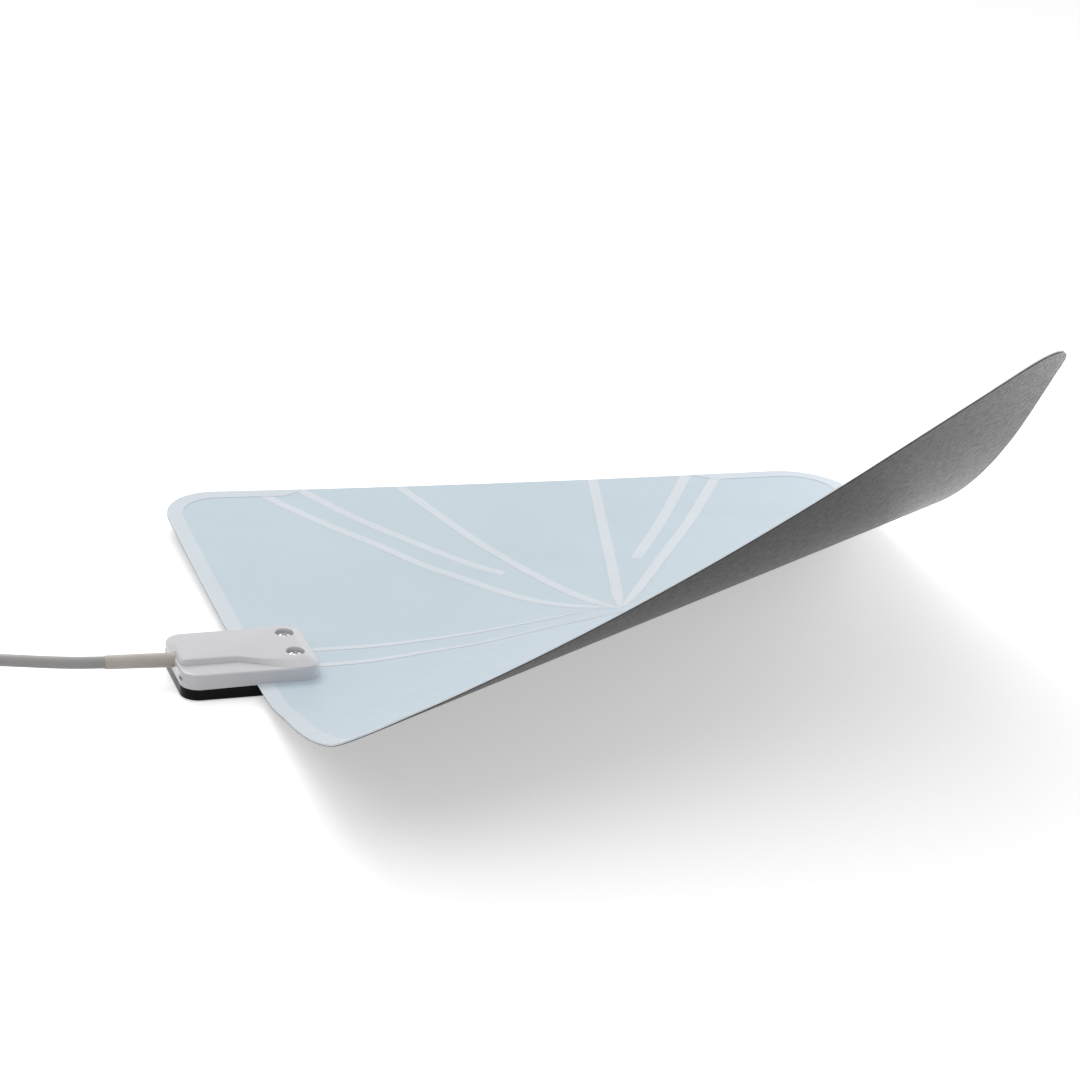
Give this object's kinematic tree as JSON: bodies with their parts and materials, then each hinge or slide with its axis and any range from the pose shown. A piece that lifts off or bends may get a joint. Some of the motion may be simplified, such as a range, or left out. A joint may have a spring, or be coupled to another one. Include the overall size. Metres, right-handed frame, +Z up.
{
  "type": "tv antenna",
  "caption": "Flat indoor television antenna: a flexible curling printed sheet clamped in a small two-piece housing, with a thin coaxial lead, its coil and a push-on plug.",
  "frame": {"origin": "middle of the housing's flat base, on the surface it stands on", "axes": "+Z up, +X from the housing along the sheet, the lead leaves towards -X, +Y to the far side of the sheet"},
  "size_m": [0.4976, 0.3201, 0.1541],
  "materials": {
    "back_film": "satin",
    "bond_web": "satin",
    "foil": "satin",
    "front_film": "satin",
    "white_shell": "gloss",
    "black_shell": "gloss",
    "screw": "polished",
    "board": "satin",
    "contact": "satin",
    "ferrite": "satin",
    "copper": "satin",
    "chips": "satin",
    "solder": "satin",
    "crimp": "satin",
    "relief": "satin",
    "jacket": "satin",
    "braid": "satin",
    "dielectric": "satin",
    "tie": "satin",
    "grip": "satin",
    "plug_metal": "polished"
  },
  "bodies": {
    "root": {"back_film": "back_film", "bond_web": "bond_web", "foil_main": "foil", "foil_left": "foil", "foil_inner_left": "foil", "foil_centre": "foil", "foil_inner_right": "foil", "front_film": "front_film", "bottom_cover": "black_shell", "top_cover": "white_shell", "cover_screws": "screw", "circuit_board": "board", "contact_blocks": "contact", "balun_core": "ferrite", "balun_winding": "copper", "chip_parts": "chips", "solder_joint": "solder", "crimp_ring": "crimp", "strain_relief": "relief", "cable_jacket": "jacket", "cable_braid": "braid", "cable_dielectric": "dielectric", "cable_conductor": "copper", "cable_tube": "jacket", "cable_coil": "jacket", "cable_tail": "jacket", "coil_tie": "tie", "plug_grip": "grip", "plug_shell": "plug_metal", "plug_insulator": "dielectric", "plug_pin": "copper"}
  },
  "joints": []
}
